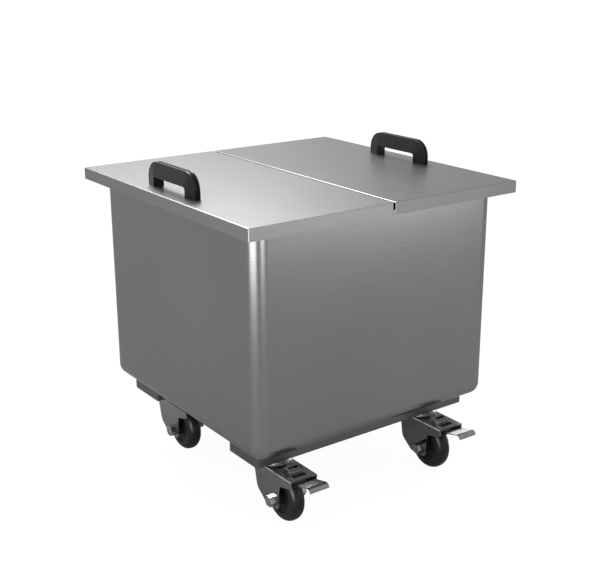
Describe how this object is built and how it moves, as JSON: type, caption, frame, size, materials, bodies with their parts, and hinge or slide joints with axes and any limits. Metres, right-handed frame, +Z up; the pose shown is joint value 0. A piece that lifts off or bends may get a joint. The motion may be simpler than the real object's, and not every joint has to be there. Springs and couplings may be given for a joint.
{
  "type": "flour cart",
  "caption": "Square stainless steel tub on swivel casters, closed by two lift-off lid halves with bridge handles, with foot brakes on the front casters.",
  "frame": {"origin": "on the floor, under the middle of the tub and of the square of the four swivel axes", "axes": "+Z up, +X to the right along the front, and -Y out of the front, where the two braked casters are"},
  "size_m": [0.64, 0.6624, 0.6755],
  "materials": {
    "tub_sheet": "brushed stainless sheet",
    "lid_sheet": "brushed stainless sheet",
    "rail_sheet": "brushed stainless sheet",
    "caster_pressing": "polished pressed steel",
    "pedal_pressing": "polished pressed steel",
    "bright_fasteners": "bright turned steel",
    "bearing_balls": "polished",
    "handle_moulding": "satin dark grey",
    "wheel_core": "moulded black",
    "tyre": "smooth black",
    "brake_block": "matt black"
  },
  "bodies": {
    "cart": {"tub": "tub_sheet", "front_rail": "rail_sheet", "rear_rail": "rail_sheet", "caster_bolts": "bright_fasteners", "caster_nuts": "bright_fasteners", "mounting_plate_front_left": "caster_pressing", "swivel_race_front_left": "caster_pressing", "swivel_balls_front_left": "bearing_balls", "kingpin_front_left": "caster_pressing", "mounting_plate_front_right": "caster_pressing", "swivel_race_front_right": "caster_pressing", "swivel_balls_front_right": "bearing_balls", "kingpin_front_right": "caster_pressing", "mounting_plate_rear_left": "caster_pressing", "swivel_race_rear_left": "caster_pressing", "swivel_balls_rear_left": "bearing_balls", "kingpin_rear_left": "caster_pressing", "mounting_plate_rear_right": "caster_pressing", "swivel_race_rear_right": "caster_pressing", "swivel_balls_rear_right": "bearing_balls", "kingpin_rear_right": "caster_pressing"},
    "caster_front_left": {"fork_front_left": "caster_pressing", "axle_bolt_front_left": "bright_fasteners", "axle_nut_front_left": "bright_fasteners", "axle_sleeve_front_left": "bright_fasteners", "brake_pin_front_left": "bright_fasteners"},
    "wheel_front_left": {"tyre_front_left": "tyre", "wheel_hub_front_left": "wheel_core"},
    "pedal_front_left": {"brake_pedal_front_left": "pedal_pressing", "brake_shoe_front_left": "brake_block"},
    "caster_front_right": {"fork_front_right": "caster_pressing", "axle_bolt_front_right": "bright_fasteners", "axle_nut_front_right": "bright_fasteners", "axle_sleeve_front_right": "bright_fasteners", "brake_pin_front_right": "bright_fasteners"},
    "wheel_front_right": {"tyre_front_right": "tyre", "wheel_hub_front_right": "wheel_core"},
    "pedal_front_right": {"brake_pedal_front_right": "pedal_pressing", "brake_shoe_front_right": "brake_block"},
    "caster_rear_left": {"fork_rear_left": "caster_pressing", "axle_bolt_rear_left": "bright_fasteners", "axle_nut_rear_left": "bright_fasteners", "axle_sleeve_rear_left": "bright_fasteners"},
    "wheel_rear_left": {"tyre_rear_left": "tyre", "wheel_hub_rear_left": "wheel_core"},
    "caster_rear_right": {"fork_rear_right": "caster_pressing", "axle_bolt_rear_right": "bright_fasteners", "axle_nut_rear_right": "bright_fasteners", "axle_sleeve_rear_right": "bright_fasteners"},
    "wheel_rear_right": {"tyre_rear_right": "tyre", "wheel_hub_rear_right": "wheel_core"},
    "lid_left_half": {"lid_left": "lid_sheet", "handle_left": "handle_moulding", "handle_screws_left": "bright_fasteners"},
    "lid_right_half": {"lid_right": "lid_sheet", "handle_right": "handle_moulding", "handle_screws_right": "bright_fasteners"}
  },
  "joints": [
    {"name": "swivel_front_left", "type": "hinge", "parent": "cart", "child": "caster_front_left", "pos_m": [-0.1904, -0.195, 0.12], "axis": [0, 0, 1], "continuous": true},
    {"name": "roll_front_left", "type": "hinge", "parent": "caster_front_left", "child": "wheel_front_left", "pos_m": [-0.1904, -0.234, 0.05], "axis": [1, 0, 0], "continuous": true},
    {"name": "brake_front_left", "type": "hinge", "parent": "caster_front_left", "child": "pedal_front_left", "pos_m": [-0.1904, -0.251, 0.103], "axis": [1, 0, 0], "range_deg": [0, 12]},
    {"name": "swivel_front_right", "type": "hinge", "parent": "cart", "child": "caster_front_right", "pos_m": [0.1904, -0.195, 0.12], "axis": [0, 0, 1], "continuous": true},
    {"name": "roll_front_right", "type": "hinge", "parent": "caster_front_right", "child": "wheel_front_right", "pos_m": [0.1904, -0.234, 0.05], "axis": [1, 0, 0], "continuous": true},
    {"name": "brake_front_right", "type": "hinge", "parent": "caster_front_right", "child": "pedal_front_right", "pos_m": [0.1904, -0.251, 0.103], "axis": [1, 0, 0], "range_deg": [0, 12]},
    {"name": "swivel_rear_left", "type": "hinge", "parent": "cart", "child": "caster_rear_left", "pos_m": [-0.1904, 0.195, 0.12], "axis": [0, 0, 1], "continuous": true},
    {"name": "roll_rear_left", "type": "hinge", "parent": "caster_rear_left", "child": "wheel_rear_left", "pos_m": [-0.1904, 0.156, 0.05], "axis": [1, 0, 0], "continuous": true},
    {"name": "swivel_rear_right", "type": "hinge", "parent": "cart", "child": "caster_rear_right", "pos_m": [0.1904, 0.195, 0.12], "axis": [0, 0, 1], "continuous": true},
    {"name": "roll_rear_right", "type": "hinge", "parent": "caster_rear_right", "child": "wheel_rear_right", "pos_m": [0.1904, 0.156, 0.05], "axis": [1, 0, 0], "continuous": true},
    {"name": "lift_left", "type": "slide", "parent": "cart", "child": "lid_left_half", "axis": [0, 0, 1], "range_m": [0, 0.25]},
    {"name": "lift_right", "type": "slide", "parent": "cart", "child": "lid_right_half", "axis": [0, 0, 1], "range_m": [0, 0.25]}
  ]
}
